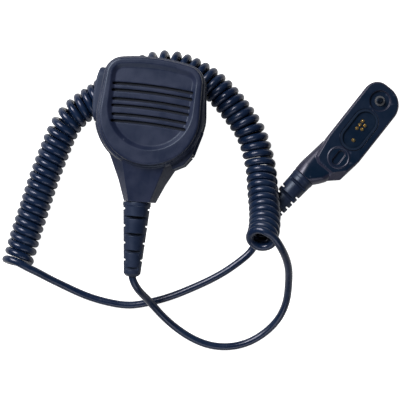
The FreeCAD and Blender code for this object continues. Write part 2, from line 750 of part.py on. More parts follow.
def clip():
    pivot = size("pivot_y")
    pin_y = pivot + size("clip_pin_y")
    pin_z = size("clip_pin_z")
    low = size("clip_plate_low")
    thick = size("clip_plate_thick")
    half = size("clip_width / 2")
    reach = size("clip_length / 2")

    base = Part.Face(clip_outline()).extrude(Vector(0, 0, thick))
    base.translate(Vector(0, 0, low))
    hub = Part.makeCylinder(8.0, 0.55, Vector(0, pivot, low + thick))
    lugs = []
    for side in (-1, 1):
        lug = Part.makeBox(2.2, 7.0, low - pin_z, Vector(side * 8.4 - 1.1, pin_y - 3.5, pin_z))
        cheek = Part.makeCylinder(3.5, 2.2, Vector(side * 8.4 - 1.1, pin_y, pin_z), Vector(1, 0, 0))
        lugs += [lug, cheek]
    base = base.multiFuse([hub] + lugs)
    for number in range(4):
        y = pivot - reach + 1.6 + 1.6 * number
        groove = Part.makeCylinder(0.4, 12.0, Vector(-6.0, y, low), Vector(1, 0, 0))
        base = base.cut(groove)
    base = base.cut(Part.makeCylinder(2.55, 40.0, Vector(0, pivot, 0)))
    pin_room = Part.makeCylinder(size("clip_pin_radius + 0.02"), 40.0, Vector(-20.0, pin_y, pin_z), Vector(1, 0, 0))
    base = base.cut(pin_room)
    label(coded("clip_base", tidied(base)), "clip_base")

    foot = size("lever_thick")
    jaw_y = pivot - reach
    thumb_y = pivot + reach
    profile = [
        (jaw_y, low - 0.9), (jaw_y + 3.2, low - 0.9), (jaw_y + 5.0, foot + 3.2), (jaw_y + 9.0, foot + 0.5),
        (pin_y, foot), (thumb_y - 1.0, foot + 1.4), (thumb_y, foot + 0.6), (thumb_y, 1.2), (thumb_y - 4.0, 0.0),
        (jaw_y + 8.0, 0.0), (jaw_y + 2.6, 3.4), (jaw_y, low - 3.6),
    ]
    lever = Part.Face(polygon([Vector(-half, y, z) for y, z in profile])).extrude(Vector(2 * half, 0, 0))
    lever = lever.common(Part.Face(clip_outline()).extrude(Vector(0, 0, low)))
    ears = []
    for side in (-1, 1):
        ear = Part.makeBox(2.0, 6.0, pin_z - 1.0, Vector(side * 6.1 - 1.0, pin_y - 3.0, 1.0))
        cheek = Part.makeCylinder(3.0, 2.0, Vector(side * 6.1 - 1.0, pin_y, pin_z), Vector(1, 0, 0))
        ears += [ear, cheek]
    lever = lever.multiFuse(ears)
    lever = lever.cut(pin_room)
    label(coded("clip_lever", tidied(lever)), "clip_lever")

    pin = rod("clip_pin", "clip_pin_radius", "20", "-10", "pivot_y + clip_pin_y", "clip_pin_z",
              Rotation(Vector(0, 1, 0), 90))
    label(pin, "clip_pin")

    wire_radius = 0.4
    helix_radius = 1.9
    turns = 6
    pitch = 1.35
    points = [Vector(-turns * pitch / 2 - 0.3, pin_y + 8.0, low - 0.5)]
    samples = turns * 12 - 6
    for step in range(samples + 1):
        turn = 2 * math.pi * step / 12
        x = -turns * pitch / 2 + pitch * step / 12
        points.append(Vector(x, pin_y - helix_radius * math.sin(turn), pin_z + helix_radius * math.cos(turn)))
    points.append(Vector(turns * pitch / 2 + 0.3, pin_y + 7.0, foot + 2.0))
    spring = pipe_along(points, wire_radius, 2 * len(points))
    label(coded("clip_spring", spring), "clip_spring")

    screw = turned("clip_pivot_screw", [
        ("0", "back_level"), ("0", "back_level - 5.2"), ("4.4", "back_level - 5.2"),
        ("4.4", "back_level - 3.7"), ("2.5", "back_level - 3.7"), ("2.5", "back_level - 0.05"),
        ("1.5", "back_level - 0.05"), ("1.5", "back_level + 3.8"), ("0", "back_level + 3.8"),
        ("0", "back_level + 1"),
    ])
    label(seat(screw, "0", "pivot_y"), "clip_pivot_screw")
    washer = turned("clip_washer", sleeve_profile("2.7", "7.0", "back_level - 0.48", "back_level - 0.06"))
    label(seat(washer, "0", "pivot_y"), "clip_washer")
    insert = turned("pivot_insert", sleeve_profile("1.55", "2.4", "back_level + 0.05", "back_level + 3.95"))
    label(seat(insert, "0", "pivot_y"), "pivot_insert")


# ---------------------------------------------------------------- cord


def arc_from(start, tangent, end):
    """The circular arc that leaves start along tangent and reaches end."""
    reach = end - start
    if reach.cross(tangent).Length < 1e-7 * reach.Length:
        return Part.makeLine(start, end)
    normal = tangent.cross(reach)
    normal.normalize()
    inward = normal.cross(tangent)
    radius = reach.dot(reach) / (2 * reach.dot(inward))
    centre = start + inward * radius
    middle = (start + end) * 0.5 - centre
    middle.normalize()
    return Part.Arc(start, centre + middle * abs(radius), end).toShape()


def pipe_along(points, radius, samples):
    """A round wire through the points, its centreline a chain of arcs that meet smoothly."""
    curve = Part.BSplineCurve()
    curve.interpolate(Points=points)
    first = curve.FirstParameter
    last = curve.LastParameter
    places = [first + (last - first) * step / samples for step in range(samples + 1)]
    edges = []
    for here, there in zip(places, places[1:]):
        start = curve.value(here)
        end = curve.value(there)
        leave = curve.tangent(here)[0]
        arrive = curve.tangent(there)[0]
        across = end - start
        bend = 2 * (1 - leave.dot(arrive))
        slope = 2 * across.dot(leave + arrive)
        if bend < 1e-12:
            step_out = across.dot(across) / slope
        else:
            step_out = (-slope + math.sqrt(slope * slope + 4 * bend * across.dot(across))) / (2 * bend)
        near = start + leave * step_out
        far = end - arrive * step_out
        joint = (near + far) * 0.5
        through = far - near
        through.normalize()
        edges.append(arc_from(start, leave, joint))
        edges.append(arc_from(joint, through, end))
    circle = Part.makeCircle(radius, curve.value(first), curve.tangent(first)[0])
    return Part.Wire(edges).makePipe(Part.Face(Part.Wire(circle)))


# The cord's run over the table: a straight lead from the head, the coil, and a lead to the connector.
HEAD_LEAD = (
    (4.0, -93.6, 25.2), (10.1, -100.0, 17.5), (17.4, -107.0, 11.0), (29.0, -115.7, 5.3), (49.1, -122.7, 2.3),
    (68.0, -118.8, 2.3), (76.8, -112.2, 3.2), (83.2, -103.5, 6.0), (86.1, -93.3, 11.5), (85.5, -81.8, 20.0),
    (83.6, -73.0, 28.0), (80.7, -67.0, 34.0), (75.8, -60.5, 40.5), (71.8, -56.7, 42.8),
)
COIL_LINE = (
    (66.5, -60.0, 40.0), (67.7, -54.4, 33.0), (67.2, -43.9, 23.0), (65.2, -33.2, 15.4), (63.1, -22.3, 10.6),
    (59.4, -11.6, 8.75), (54.2, -1.7, 8.65), (46.9, 6.8, 8.65), (31.2, 20.3, 8.65), (13.1, 27.6, 8.65),
    (3.9, 28.1, 8.65), (-8.9, 23.4, 8.65), (-32.9, 4.4, 8.65), (-44.9, -8.3, 8.65), (-50.7, -24.7, 8.65),
    (-54.7, -41.2, 8.65), (-58.8, -62.9, 8.65), (-61.3, -76.5, 8.65), (-62.6, -85.5, 9.0), (-63.9, -93.5, 11.4),
)
PLUG_LEAD = (
    (-56.9, -91.8, 15.8), (-50.9, -94.2, 13.0), (-45.5, -96.6, 9.8), (-39.6, -99.0, 6.8), (-34.1, -101.1, 4.4),
    (-28.6, -103.0, 2.9), (-22.7, -104.6, 2.2), (-10.7, -106.4, 2.15), (1.7, -106.2, 2.15), (11.1, -103.5, 2.15),
    (20.3, -99.8, 2.15), (34.5, -92.1, 2.15), (47.9, -83.3, 2.15), (59.3, -73.2, 2.2), (64.1, -67.2, 2.4),
)


def coil_points():
    """Points on the left-handed coil, turns closed up to just clear each other on the inside of a bend."""
    line = Part.BSplineCurve()
    line.interpolate(Points=[Vector(*place) for place in COIL_LINE])
    first = line.FirstParameter
    last = line.LastParameter
    steps = 4000
    mean = size("coil_mean_radius")
    closed_pitch = size("2 * cord_radius + turn_gap")
    turn = math.radians(size("coil_phase"))
    stride = (last - first) / steps
    per_turn = 12
    points = []
    due = turn
    for step in range(steps + 1):
        place = first + stride * step
        if turn >= due:
            centre = line.value(place)
            along = line.tangent(place)[0]
            across = along.cross(Vector(0, 0, 1))
            across.normalize()
            up = across.cross(along)
            points.append(centre + across * (mean * math.cos(turn)) + up * (mean * math.sin(turn)))
            due += 2 * math.pi / per_turn
        advance = (line.value(min(place + stride, last)) - line.value(place)).Length
        pitch = closed_pitch / max(0.55, 1 - mean * line.curvature(place))
        turn += 2 * math.pi * advance / pitch
    whole_turns = (len(points) - 1) // per_turn
    return points[:whole_turns * per_turn + 1]


def cord():
    relief = relief_frame()
    plug = plug_relief_frame()
    reach = size("relief_length")
    stops = [-14.0 + (reach + 6.0) * step / 8 for step in range(9)] + [reach - 4.0, reach - 1.0]
    root = [relief.multVec(Vector(0, 0, stop)) for stop in stops]
    reach = size("plug_relief_length")
    stops = [reach + 1.5, reach - 1.0] + [reach - 4.0 - (reach + 5.0) * step / 6 for step in range(7)]
    tip = [plug.multVec(Vector(0, 0, stop)) for stop in stops]
    points = root + [Vector(*place) for place in HEAD_LEAD] + coil_points()
    points += [Vector(*place) for place in PLUG_LEAD] + tip
    label(coded("coiled_cord", pipe_along(points, size("cord_radius"), len(points))), "coiled_cord")


# ---------------------------------------------------------------- strain reliefs


def relief(name, length, root_radius, tip_radius, stub, flange, slots, frame):
    """A tapering sleeve with cross slots and a root that its housing grips."""
    gap = size("fit_gap")
    bore = size("cord_radius + relief_gap")
    stub_radius, stub_length = stub
    root = Part.makeCylinder(stub_radius, stub_length + gap, Vector(0, 0, -stub_length))
    collar = Part.makeCylinder(root_radius, 2.0, Vector(0, 0, gap))
    body = Part.makeCone(root_radius - 0.2, tip_radius, length - 3.5, Vector(0, 0, 2.0))
    nose = Part.makeCone(tip_radius, tip_radius - 1.4, 1.5, Vector(0, 0, length - 1.5))
    sleeve = root.multiFuse([collar, body, nose])
    if flange:
        sleeve = sleeve.fuse(Part.makeCylinder(flange, 2.0, Vector(0, 0, -5.2)))
    room = root_radius + 1.0
    for turns, width, depth, middles in slots:
        for middle in middles:
            share = (middle - 2.0) / (length - 3.5)
            local_radius = (root_radius - 0.2) * (1 - share) + tip_radius * share
            floor = size("cord_radius + slot_core") if depth is None else local_radius - depth
            for turn in turns:
                notch = Part.makeBox(2 * room, room, width, Vector(-room, floor, middle - width / 2))
                notch.rotate(Vector(), Vector(0, 0, 1), turn)
                sleeve = sleeve.cut(notch)
    sleeve = sleeve.cut(Part.makeCylinder(bore, length + 40.0, Vector(0, 0, -20.0)))
    feature = coded(name, tidied(sleeve))
    feature.Placement = frame
    label(feature, name)


def strain_reliefs():
    """Deep slots across the front and back, shallow nicks down the two sides."""
    front_and_back = (0, 180)
    sides = (90, 270)
    deep = size("slot_width")
    relief("head_strain_relief", size("relief_length"), size("relief_radius"), size("relief_tip_radius"),
           (5.5, 7.0), 6.4, (
               (front_and_back, deep, None, (8.4, 17.5, 26.6, 35.7)),
               (sides, 0.9, 1.2, (3.9, 13.0, 22.1, 31.2)),
           ), relief_frame())
    relief("connector_strain_relief", size("plug_relief_length"), size("plug_relief_radius"),
           size("plug_relief_tip_radius"), (5.0, 7.0), None, (
               (front_and_back, deep, None, (5.5, 13.9, 22.3)),
               (sides, 1.1, 1.9, (11.4, 15.2, 19.0, 22.8, 26.6)),
           ), plug_relief_frame())


def cable_clamps():
    """A saddle over the cord inside the neck, with two screws into the rear cover's heel."""
    frame = relief_frame()
    saddle = Part.makeBox(11.0, 3.0, 3.0, Vector(-5.5, -2.2, -12.5))
    saddle = saddle.cut(Part.makeCylinder(size("cord_radius + 0.05"), 20.0, Vector(0, 0, -20.0)))
    feature = coded("cable_clamp", saddle)
    feature.Placement = frame
    label(feature, "cable_clamp")


def wires(name, starts, ends, sag, radius):
    """Thin insulated wires, one solid each, from a cord's end to a board."""
    strands = []
    for start, end in zip(starts, ends):
        middle = (start + end) * 0.5 + sag
        strands.append(pipe_along([start, middle, end], radius, 4))
    label(coded(name, Part.makeCompound(strands)), name)


def inner_wires():
    frame = relief_frame()
    starts = [frame.multVec(Vector(offset, 0.0, -14.1)) for offset in (-1.35, -0.45, 0.45, 1.35)]
    ends = [Vector(x, -18.0, size("board_level") + 0.8) for x in (-3.0, -1.0, 1.0, 3.0)]
    wires("inner_wires", starts, ends, Vector(0, 0, 0.8), 0.35)
    frame = plug_relief_frame()
    starts = [frame.multVec(Vector(offset, 0.0, -9.1)) for offset in (-1.35, -0.45, 0.45, 1.35)]
    ends = [plug_frame().multVec(Vector(12.2, v, -6.4)) for v in (-4.0, -3.0, -2.0, -1.0)]
    wires("connector_wires", starts, ends, Vector(0, 0, -0.3), 0.35)


# ---------------------------------------------------------------- side connector


def plug_frame():
    spin = Rotation(Vector(0, 0, 1), size("plug_turn"))
    return Placement(Vector(size("plug_x"), size("plug_y"), size("plug_z")), spin)


def plug_relief_frame():
    """Origin where the cable leaves the connector's collar, Z along the cable, Y up."""
    lean = math.radians(size("plug_relief_lean"))
    along = Vector(math.cos(lean), math.sin(lean), 0)
    across = Vector(0, 0, 1).cross(along)
    spin = Rotation(across, Vector(0, 0, 1), along, "ZXY")
    local = Placement(Vector(size("collar_u"), size("collar_v"), size("collar_w")), spin)
    return plug_frame().multiply(local)


def plug_outline(inset, slope=0.0):
    """The connector's outline: rounder on one corner of its free end, cut back towards the cable."""
    end = size("plug_free_end") + inset
    low = size("plug_low_side") + inset
    high = size("plug_high_side") - inset
    corner = size("plug_corner") - inset
    nose = size("plug_nose") - inset
    cable_end = size("plug_cable_end") - inset - slope
    bend = math.sqrt(0.5)
    corner_centre = Vector(end + corner, low + corner, 0)
    nose_centre = Vector(end + nose, high - nose, 0)
    cable_side = [
        Vector(corner_centre.x, low, 0), Vector(15.0 - slope / 2, low, 0),
        Vector(cable_end - 2.2, low + 2.0, 0), Vector(cable_end, low + 5.0, 0),
        Vector(cable_end, 3.2, 0), Vector(cable_end - 5.4, high - 1.8, 0),
        Vector(16.0 - slope / 2, high, 0), Vector(nose_centre.x, high, 0),
    ]
    nose_middle = nose_centre + Vector(-bend, bend, 0) * nose
    corner_middle = corner_centre + Vector(-bend, -bend, 0) * corner
    edges = [Part.makeLine(here, there) for here, there in zip(cable_side, cable_side[1:])]
    edges += [
        Part.Arc(cable_side[-1], nose_middle, Vector(end, nose_centre.y, 0)).toShape(),
        Part.makeLine(Vector(end, nose_centre.y, 0), Vector(end, corner_centre.y, 0)),
        Part.Arc(Vector(end, corner_centre.y, 0), corner_middle, cable_side[0]).toShape(),
    ]
    return Part.Wire(edges)


def plug_level(wire, level):
    moved = wire.copy()
    moved.translate(Vector(0, 0, level))
    return moved


# The taper from the connector's body to its cable collar: place along the cable, width, height, corner, shift.
TAPER_SECTIONS = (
    (-22.0, 17.0, 9.0, 3.5, 2.7), (-12.0, 18.2, 10.5, 4.0, 2.7), (-6.0, 17.6, 12.0, 5.0, 1.9),
    (-3.0, 15.8, 12.6, 6.0, 1.0), (0.0, 13.4, 13.0, 6.4, 0.0),
)
PLUG_SCREWS = ((-14.5, 7.4), (-14.5, -7.3), (14.8, 7.4), (14.8, -7.2))


def in_plug(name, shape):
    feature = coded(name, shape)
    feature.Placement = plug_frame()
    return label(feature, name)


def connector_housing():
    deep = size("plug_shell_deep")
    wall = size("plug_wall")
    slope = size("plug_end_slope")
    blank = ruled([
        plug_level(plug_outline(0.3), -deep), plug_level(plug_outline(0.0), -deep + 3.0),
        plug_level(plug_outline(0.0), -4.0), plug_level(plug_outline(0.0, slope), -0.9),
        plug_level(plug_outline(0.9, slope), 0.0),
    ])
    collar_frame = plug_frame().inverse().multiply(plug_relief_frame())
    sections = []
    for place, width, height, corner, shift in TAPER_SECTIONS:
        wire = rounded_wire(width, height, corner)
        wire.Placement = collar_frame.multiply(Placement(Vector(shift, 0, place), Rotation()))
        sections.append(wire)
    shell = blank.fuse(ruled(sections))
    room = ruled([plug_level(plug_outline(wall), -deep - 4.0), plug_level(plug_outline(wall), -wall)])
    screw_room = room.common(Part.makeBox(60.0, 40.0, 20.0, Vector(-40.5, -20.0, -deep - 5.0)))
    wire_room = room.common(Part.makeBox(8.0, 40.0, deep, Vector(18.0, -20.0, -deep + 0.5)))
    shell = shell.cut(screw_room.fuse(wire_room))
    boss = Part.makeCylinder(4.6, 5.8, Vector(size("screw_u"), size("screw_v"), -7.5))
    pad = Part.makeCylinder(5.95, 2.4, Vector(size("screw_u"), size("screw_v"), -3.8))
    posts = [Part.makeCylinder(1.8, deep - 1.0, Vector(u, v, -deep)) for u, v in PLUG_SCREWS]
    pad = pad.common(ruled([plug_level(plug_outline(1.0), -9.0), plug_level(plug_outline(1.0), 0.0)]))
    ring = Part.makeCylinder(6.0, 1.0, Vector(18.9, 0.6, -0.7))
    ring = ring.cut(Part.makeCylinder(5.5, 2.0, Vector(18.9, 0.6, -0.9)))
    for part in [boss, pad] + posts + [ring]:
        shell = shell.fuse(part)
    stub_bore = Part.makeCylinder(5.05, 7.2, Vector(0, 0, -7.2))
    stub_bore.Placement = collar_frame.multiply(stub_bore.Placement)
    cord_bore = Part.makeCylinder(2.6, 40.0, Vector(0, 0, -24.0))
    cord_bore.Placement = collar_frame.multiply(cord_bore.Placement)
    below = Part.makeBox(60.0, 40.0, 20.0, Vector(-40.0, -20.0, -deep - 20.0))
    bore_start = Vector(size("screw_u"), size("screw_v"), -20.0)
    tools = [
        Part.makeCylinder(size("thumb_radius + 0.26"), 30.0, bore_start),
        Part.makeCylinder(5.7, 3.0, Vector(size("screw_u"), size("screw_v"), -1.5)),
        stadium(25.2, 14.2, -wall - 0.5, 1.0),
        stub_bore, cord_bore, below,
    ]
    oblong = stadium(9.0, 4.4, -1.3, 1.0)
    oblong.translate(Vector(18.9, 0.6, 0))
    tools.append(oblong)
    tools += [Part.makeCylinder(0.85, 5.0, Vector(u, v, -deep)) for u, v in PLUG_SCREWS]
    for tool in tools:
        shell = shell.cut(tool)
    in_plug("connector_shell", tidied(shell))

    bottom = -size("plug_deep")
    gap = 0.05
    lid = ruled([plug_level(plug_outline(1.8), bottom), plug_level(plug_outline(0.6), bottom + 1.0),
                 plug_level(plug_outline(0.3), -deep - gap)])
    lid = lid.cut(Part.makeBox(30.0, 60.0, 20.0, Vector(20.0, -30.0, -20.0)))
    lid = lid.cut(Part.makeCylinder(6.7, 10.0, Vector(size("screw_u"), size("screw_v"), -15.0)))
    for u, v in PLUG_SCREWS:
        lid = lid.cut(Part.makeCylinder(0.95, 10.0, Vector(u, v, -15.0)))
        lid = lid.cut(Part.makeCylinder(1.8, 5.0, Vector(u, v, bottom - 3.6)))
    in_plug("connector_back_cover", tidied(lid))

    screw = turned("connector_screw", [
        ("0", "-11.2"), ("1.6", "-11.2"), ("1.6", "-10.2"), ("0.8", "-10.15"), ("0.8", "-4.2"), ("0", "-4.0"),
    ])
    frame = plug_frame()
    places = [frame.multiply(Placement(Vector(u, v, 0), Rotation())) for u, v in PLUG_SCREWS]
    label(group("connector_screws", screw, places), "connector_screws")


def contact_places():
    """Two staggered rows of contacts on the pitch; two places of the second row are left empty."""
    pitch = size("pin_pitch")
    low_row = [(-2.0 + number, -1.5) for number in range(3)]
    high_row = [(number, 1.04) for number in (-1.5, -0.5, 2.5)]
    return [(places * pitch, v) for places, v in low_row + high_row]


def contacts():
    wall = size("plug_wall")
    seal = stadium(25.0, 14.0, -wall - 0.05, 0.5).cut(stadium(22.4, 11.4, -wall - 1.0, 1.0))
    in_plug("contact_gasket", seal)
    block = stadium(22.2, 11.2, -wall - 0.1, -0.6).fuse(stadium(26.6, 15.6, -wall - 1.9, -wall - 0.1))
    for u, v in contact_places():
        block = block.cut(Part.makeCylinder(1.0, 10.0, Vector(u, v, -8.0)))
    in_plug("contact_block", tidied(block))
    barrel = turned("contact_barrel", [
        ("0", "-5.7"), ("0.95", "-5.7"), ("0.95", "-0.7"), ("pin_radius + 0.05", "-0.7"),
        ("pin_radius + 0.05", "-5.1"), ("0", "-5.1"),
    ])
    pin = turned("contact_pin", [
        ("0", "-4.2"), ("pin_radius", "-4.2"), ("pin_radius", "0.3"), ("pin_radius * 0.6", "0.6"), ("0", "0.7"),
    ])
    frame = plug_frame()
    places = [frame.multiply(Placement(Vector(u, v, 0), Rotation())) for u, v in contact_places()]
    label(group("contact_barrels", barrel, places), "contact_barrels")
    label(group("contact_pins", pin, places), "contact_pins")
    board = Part.makeBox(24.0, 13.0, 1.0, Vector(-12.0, -6.5, -6.75))
    in_plug("connector_board", board)


def thumbscrew():
    screw = turned("thumbscrew", [
        ("0", "-13.4"), ("5.2", "-13.4"), ("6.0", "-12.8"), ("6.0", "-9.7"), ("5.6", "-9.3"),
        ("thumb_radius + 0.2", "-9.3"), ("thumb_radius + 0.2", "-0.6"), ("thumb_radius", "-0.6"),
        ("thumb_radius", "2.3"), ("thumb_radius - 0.3", "2.6"), ("0", "2.6"),
    ])
    ring = turned("retaining_ring", sleeve_profile("thumb_radius + 0.23", "2.8", "-1.45", "-0.85"))
    local = Placement(Vector(size("screw_u"), size("screw_v"), 0), Rotation())
    for body in (screw, ring):
        body.Placement = plug_frame().multiply(local)
        label(body, body.Name)


# ---------------------------------------------------------------- build, check and write


def check_and_write():
    doc.recompute()
    for obj in doc.Objects:
        if any(word in obj.State for word in ("Invalid", "Error")):
            raise RuntimeError("%s failed: %s" % (obj.Name, obj.State))
    os.makedirs("parts", exist_ok=True)
    for node in NODES:
        shape = node.Shape
        if shape.isNull() or not shape.isValid():
            raise RuntimeError("%s has no valid shape" % node.Label)
        shape.exportStep("parts/%s.step" % node.Label)


def build():
    fill_sheet()
    front_cover()
    rear_cover()
    cover_screws()
    grille_cloth()
    speaker()
    microphone()
    main_board()
    push_to_talk()
    jack()
    clip()
    strain_reliefs()
    cable_clamps()
    cord()
    inner_wires()
    connector_housing()
    contacts()
    thumbscrew()
    check_and_write()


build()
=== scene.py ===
import json
import math

import bmesh
import bpy
from mathutils import Matrix, Vector

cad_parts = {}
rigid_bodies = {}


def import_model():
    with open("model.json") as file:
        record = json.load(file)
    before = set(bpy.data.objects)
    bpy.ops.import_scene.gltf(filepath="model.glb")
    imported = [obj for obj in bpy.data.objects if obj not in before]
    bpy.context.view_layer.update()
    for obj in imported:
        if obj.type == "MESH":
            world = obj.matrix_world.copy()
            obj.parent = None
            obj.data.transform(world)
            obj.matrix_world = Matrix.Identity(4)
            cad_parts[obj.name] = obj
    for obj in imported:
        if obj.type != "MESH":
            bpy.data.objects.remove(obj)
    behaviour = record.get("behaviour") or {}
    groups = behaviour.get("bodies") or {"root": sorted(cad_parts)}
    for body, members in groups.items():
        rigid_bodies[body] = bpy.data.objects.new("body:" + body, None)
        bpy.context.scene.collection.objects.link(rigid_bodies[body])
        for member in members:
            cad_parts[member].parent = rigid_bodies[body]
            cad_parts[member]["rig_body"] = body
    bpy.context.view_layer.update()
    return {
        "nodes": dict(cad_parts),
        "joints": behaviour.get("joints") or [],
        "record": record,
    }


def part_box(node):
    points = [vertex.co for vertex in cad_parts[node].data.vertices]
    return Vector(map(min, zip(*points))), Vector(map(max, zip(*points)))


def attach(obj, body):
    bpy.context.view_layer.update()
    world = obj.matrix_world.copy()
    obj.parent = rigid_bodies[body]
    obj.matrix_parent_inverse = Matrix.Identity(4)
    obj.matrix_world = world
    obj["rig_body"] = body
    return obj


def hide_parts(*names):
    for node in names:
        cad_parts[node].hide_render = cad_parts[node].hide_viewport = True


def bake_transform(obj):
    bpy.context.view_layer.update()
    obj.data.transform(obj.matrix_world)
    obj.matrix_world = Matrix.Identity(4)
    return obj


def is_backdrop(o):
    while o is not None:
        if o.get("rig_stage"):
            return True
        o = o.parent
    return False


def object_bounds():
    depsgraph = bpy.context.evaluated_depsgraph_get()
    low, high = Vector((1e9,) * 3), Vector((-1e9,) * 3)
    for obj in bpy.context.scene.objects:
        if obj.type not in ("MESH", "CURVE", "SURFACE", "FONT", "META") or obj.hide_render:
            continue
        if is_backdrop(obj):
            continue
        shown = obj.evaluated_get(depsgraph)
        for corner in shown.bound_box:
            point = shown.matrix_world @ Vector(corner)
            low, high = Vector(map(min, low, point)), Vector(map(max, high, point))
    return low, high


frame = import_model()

MM = 0.001
NODES = frame["nodes"]
JOINTS = {joint["name"]: joint for joint in frame["joints"]}


# ---------------------------------------------------------------- node materials


class Shader:
    """A node tree with short calls for the nodes that the materials share."""

    def __init__(self, name):
        self.material = bpy.data.materials.new(name)
        self.material.use_nodes = True
        self.tree = self.material.node_tree
        self.surface = self.tree.nodes["Principled BSDF"]
        self.place = self.tree.nodes.new("ShaderNodeTexCoord").outputs["Object"]

    def node(self, kind, **settings):
        made = self.tree.nodes.new(kind)
        for name, value in settings.items():
            setattr(made, name, value)
        return made

    def feed(self, socket, value):
        if hasattr(value, "is_output"):
            self.tree.links.new(value, socket)
        else:
            socket.default_value = value

    def noise(self, grain_mm, detail=2.0, roughness=0.5, stretch=(1, 1, 1)):
        """Noise whose features are about grain_mm across."""
        mapping = self.node("ShaderNodeMapping")
        self.feed(mapping.inputs["Vector"], self.place)
        mapping.inputs["Scale"].default_value = stretch
        texture = self.node("ShaderNodeTexNoise")
        self.feed(texture.inputs["Vector"], mapping.outputs["Vector"])
        texture.inputs["Scale"].default_value = 1.0 / (grain_mm * MM)
        texture.inputs["Detail"].default_value = detail
        texture.inputs["Roughness"].default_value = roughness
        return texture.outputs["Fac"]

    def ramp(self, value, low, high, start=0.3, end=0.7):
        """Value spread from low to high between two of its levels; low and high are numbers or colours."""
        if isinstance(low, tuple):
            node = self.node("ShaderNodeMix", data_type="RGBA")
            spread = self.spread(value, 0.0, 1.0, start, end)
            self.feed(node.inputs["Factor"], spread)
            node.inputs[6].default_value = (*low, 1.0)
            node.inputs[7].default_value = (*high, 1.0)
            return node.outputs[2]
        return self.spread(value, low, high, start, end)

    def spread(self, value, low, high, start, end):
        node = self.node("ShaderNodeMapRange", interpolation_type="SMOOTHSTEP")
        self.feed(node.inputs["Value"], value)
        for name, number in (("From Min", start), ("From Max", end), ("To Min", low), ("To Max", high)):
            node.inputs[name].default_value = number
        return node.outputs["Result"]

    def math(self, operation, first, second=0.0):
        node = self.node("ShaderNodeMath", operation=operation)
        self.feed(node.inputs[0], first)
        self.feed(node.inputs[1], second)
        return node.outputs[0]

    def mix(self, share, first, second):
        """Colours mixed by a share; each may be a tuple or a socket."""
        node = self.node("ShaderNodeMix", data_type="RGBA")
        self.feed(node.inputs["Factor"], share)
        for slot_number, colour in ((6, first), (7, second)):
            self.feed(node.inputs[slot_number], (*colour, 1.0) if isinstance(colour, tuple) else colour)
        return node.outputs[2]

    def bump(self, height, depth_mm, below=None):
        node = self.node("ShaderNodeBump")
        node.inputs["Distance"].default_value = depth_mm * MM
        node.inputs["Strength"].default_value = 1.0
        self.feed(node.inputs["Height"], height)
        if below is not None:
            self.feed(node.inputs["Normal"], below)
        return node.outputs["Normal"]

    def set(self, **values):
        for name, value in values.items():
            self.feed(self.surface.inputs[name.replace("_", " ")], value)
        return self


def polymer(name, shade, light, rough, grain_mm=0.28, depth_mm=0.012, scuff=0.35, gloss=0.25, edge_wear_and_highlight=0.4,
            tint=(0.74, 0.84, 1.0), sloped_highlight_and_gloss=None):
    """Moulded plastic or rubber: cloudy shade, eroded grain, scuffs, edges paler from wear and a painted edge
    highlight, and painted shade in creases.

    The last argument gives the colour and gloss of slanting sides: the gloss because they are grained, where only
    the flat face is polished; the paler colour is a painted highlight where the key light falls on them.
    """
    shader = Shader(name)
    cloud = shader.noise(9.0, 3.0)
    dust = shader.noise(0.9, 6.0, 0.7)
    colour = shader.ramp(cloud, shade, light)
    if sloped_highlight_and_gloss is not None:
        facing = shader.node("ShaderNodeSeparateXYZ")
        shader.feed(facing.inputs[0], shader.node("ShaderNodeNewGeometry").outputs["Normal"])
        # painted highlight: sides that slope away from flat get a paler colour, as where the key light falls
        colour = shader.mix(shader.ramp(facing.outputs["Z"], 1.0, 0.0, 0.90, 0.995), colour, sloped_highlight_and_gloss[0])
        gloss = shader.ramp(facing.outputs["Z"], sloped_highlight_and_gloss[1], gloss, 0.90, 0.995)
    colour = shader.mix(shader.ramp(dust, 0.0, 0.05, 0.6, 0.78), colour, (0.22, 0.23, 0.26))
    bend = shader.node("ShaderNodeNewGeometry").outputs["Pointiness"]
    scuffs = shader.noise(2.6, 5.0, 0.62, (1.0, 0.22, 1.0))
    # convex edges made paler: partly wear, partly a painted edge highlight
    rubbed_and_highlit_edges = shader.math("MULTIPLY", shader.ramp(bend, 0.0, edge_wear_and_highlight, 0.53, 0.62), shader.ramp(scuffs, 0.35, 1.0))
    colour = shader.mix(rubbed_and_highlit_edges, colour, (0.06, 0.068, 0.10))
    # painted shade: concave creases and recesses darkened to near black
    colour = shader.mix(shader.ramp(bend, 0.85, 0.0, 0.43, 0.493), colour, (0.001, 0.003, 0.009))
    roughness = shader.math("ADD", shader.ramp(cloud, rough - 0.05, rough + 0.05),
                            shader.ramp(scuffs, 0.0, 0.22 * scuff, 0.5, 0.68))
    coarse = shader.bump(shader.noise(grain_mm * 2.6, 2.0, 0.5), depth_mm * 1.6)
    normal = shader.bump(shader.noise(grain_mm, 3.0, 0.6), depth_mm, coarse)
    shader.set(Base_Color=colour, Roughness=roughness, Normal=normal, Specular_Tint=(*tint, 1.0),
               Specular_IOR_Level=gloss)
    return shader.material


def metal(name, shade, light, rough, stretch=(1, 1, 12), grain_mm=0.5, depth_mm=0.004):
    """Plated or turned metal with fine tooling lines and slight tarnish."""
    shader = Shader(name)
    tarnish = shader.noise(1.6, 4.0)
    lines = shader.noise(grain_mm, 2.0, 0.5, stretch)
    shader.set(Base_Color=shader.ramp(tarnish, shade, light), Metallic=1.0,
               Roughness=shader.ramp(lines, rough - 0.08, rough + 0.1),
               Normal=shader.bump(lines, depth_mm))
    return shader.material


def weave(name, shade, light, pitch_mm):
    """Plain woven cloth from two crossed waves."""
    shader = Shader(name)
    waves = []
    for direction in ("X", "Y"):
        wave = shader.node("ShaderNodeTexWave", wave_type="BANDS", bands_direction=direction)
        shader.feed(wave.inputs["Vector"], shader.place)
        wave.inputs["Scale"].default_value = 0.314 / (pitch_mm * MM)
        wave.inputs["Distortion"].default_value = 0.4
        waves.append(wave.outputs["Fac"])
    threads = shader.math("MULTIPLY", *waves)
    shader.set(Base_Color=shader.ramp(threads, shade, light, 0.1, 0.9), Roughness=0.9,
               Normal=shader.bump(threads, 0.08))
    return shader.material


